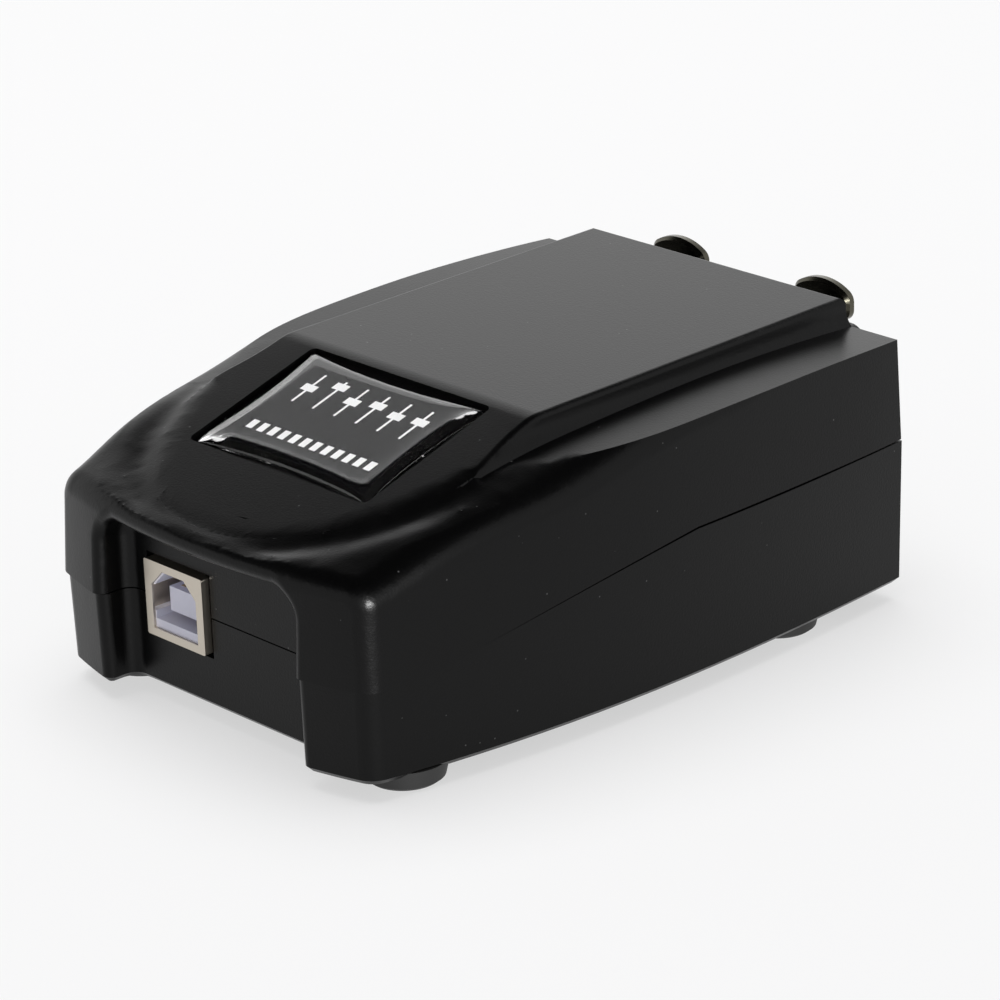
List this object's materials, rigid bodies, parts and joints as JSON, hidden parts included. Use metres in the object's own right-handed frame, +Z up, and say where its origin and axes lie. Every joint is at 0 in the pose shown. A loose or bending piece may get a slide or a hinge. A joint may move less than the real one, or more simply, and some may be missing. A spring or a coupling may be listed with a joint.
{
  "type": "usb dmx interface",
  "caption": "Small black wedge-shaped lighting control box with a front cable recess holding a square data socket, and latched round panel sockets at the back.",
  "frame": {"origin": "middle of the footprint over all, on the plane that the feet stand on", "axes": "+Y runs from the computer socket end to the latched socket end, +Z is up, +X is to the right when looking along +Y"},
  "size_m": [0.0744, 0.108, 0.0424],
  "materials": {
    "housing_black": "satin black moulded plastic with a fine grain",
    "label_print": "printed black film",
    "label_resin": "clear poured resin over the print",
    "connector_nickel": "nickel-plated pressed steel",
    "insulator_white": "off-white moulded plastic",
    "contact_gold": "gold-plated contacts",
    "board_green": "green solder mask on glass laminate",
    "chip_black": "black moulding compound with tinned pins",
    "can_silver": "bright drawn can",
    "header_white": "off-white moulded plastic",
    "screw_steel": "zinc-plated steel",
    "socket_black": "black-coated zinc die casting",
    "insert_black": "black moulded plastic",
    "latch_bronze": "dark nickel-plated steel",
    "foot_rubber": "black rubber"
  },
  "bodies": {
    "case": {"upper_housing": "housing_black", "lower_housing": "housing_black", "label_film": "label_print", "label_dome": "label_resin", "usb_shell": "connector_nickel", "usb_insulator": "insulator_white", "usb_contacts": "contact_gold", "circuit_board": "board_green", "microcontroller": "chip_black", "crystal": "can_silver", "capacitors": "can_silver", "case_screws": "screw_steel", "board_screws": "screw_steel", "socket_screws": "screw_steel", "left_line_driver": "chip_black", "left_wire_header": "header_white", "left_socket_housing": "socket_black", "left_socket_insert": "insert_black", "left_socket_contacts": "contact_gold", "left_latch_pin": "screw_steel", "left_latch_spring": "connector_nickel", "right_line_driver": "chip_black", "right_wire_header": "header_white", "right_socket_housing": "socket_black", "right_socket_insert": "insert_black", "right_socket_contacts": "contact_gold", "right_latch_pin": "screw_steel", "right_latch_spring": "connector_nickel", "front_left_foot": "foot_rubber", "front_right_foot": "foot_rubber", "rear_left_foot": "foot_rubber", "rear_right_foot": "foot_rubber"},
    "left_latch": {"left_latch_lever": "latch_bronze"},
    "right_latch": {"right_latch_lever": "latch_bronze"}
  },
  "joints": [
    {"name": "left_latch_press", "type": "hinge", "parent": "case", "child": "left_latch", "pos_m": [-0.0142, 0.04441, 0.0359], "axis": [-1, 0, 0], "range_deg": [0, 6], "stiffness_Nm_per_rad": 0.1, "springref_deg": -8.59, "deforming": ["left_latch_spring"]},
    {"name": "right_latch_press", "type": "hinge", "parent": "case", "child": "right_latch", "pos_m": [0.0142, 0.04441, 0.0359], "axis": [-1, 0, 0], "range_deg": [0, 6], "stiffness_Nm_per_rad": 0.1, "springref_deg": -8.59, "deforming": ["right_latch_spring"]}
  ]
}
